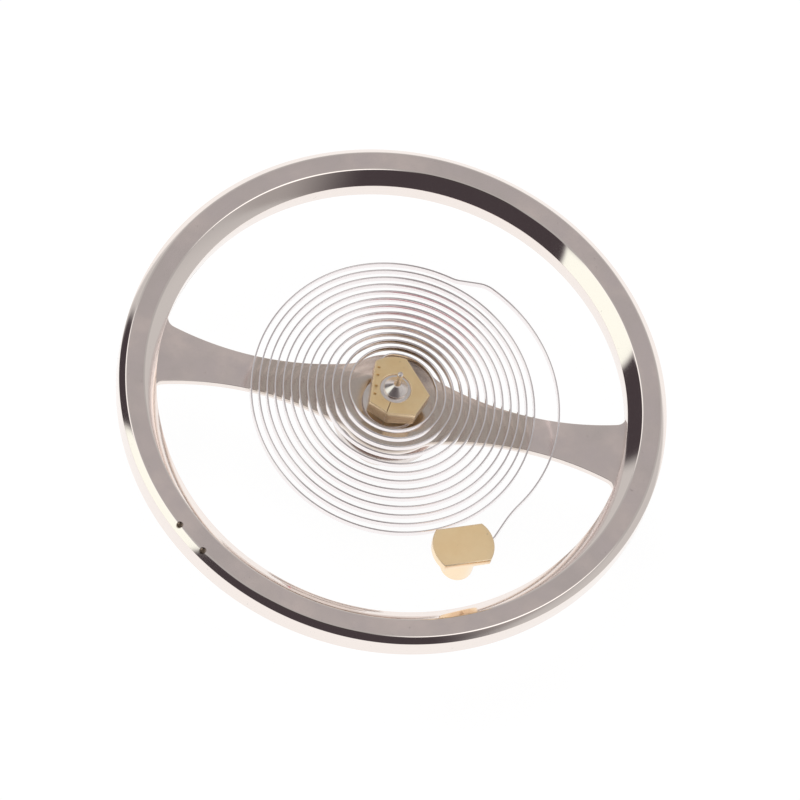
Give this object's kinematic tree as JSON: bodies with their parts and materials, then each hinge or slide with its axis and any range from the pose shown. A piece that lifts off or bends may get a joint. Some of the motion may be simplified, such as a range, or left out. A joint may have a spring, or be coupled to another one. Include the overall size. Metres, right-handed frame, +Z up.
{
  "type": "watch balance wheel",
  "caption": "Balance complete of a mechanical watch: smooth rim on flat waisted arms, pivoted staff, rollers with impulse jewel, collet, flat spiral hairspring and its stud.",
  "frame": {"origin": "tip of the lower pivot of the balance staff, on the staff's axis", "axes": "+Z up the staff towards the upper pivot; +X along the two arms of the wheel; +Y to the far side in the picture"},
  "size_m": [0.01, 0.01, 0.0034],
  "materials": {
    "nickel_plate": "polished and nickel plated copper alloy",
    "pivot_steel": "hardened steel, burnished",
    "brass": "turned and fine ground brass",
    "spring_alloy": "rolled flat strip, smooth grey",
    "ruby": "polished synthetic ruby"
  },
  "bodies": {
    "stud_body": {"stud": "brass", "stud_pin": "brass"},
    "balance_body": {"balance_wheel": "nickel_plate", "balance_staff": "pivot_steel", "collet": "brass", "hairspring": "spring_alloy", "roller_table": "pivot_steel", "safety_roller": "pivot_steel", "impulse_jewel": "ruby"}
  },
  "joints": [
    {"name": "balance_swing", "type": "hinge", "parent": "stud_body", "child": "balance_body", "pos_m": [0, 0, 0], "axis": [0, 0, 1], "range_deg": [-300, 300], "stiffness_Nm_per_rad": 0.00000046, "deforming": ["hairspring"]}
  ]
}
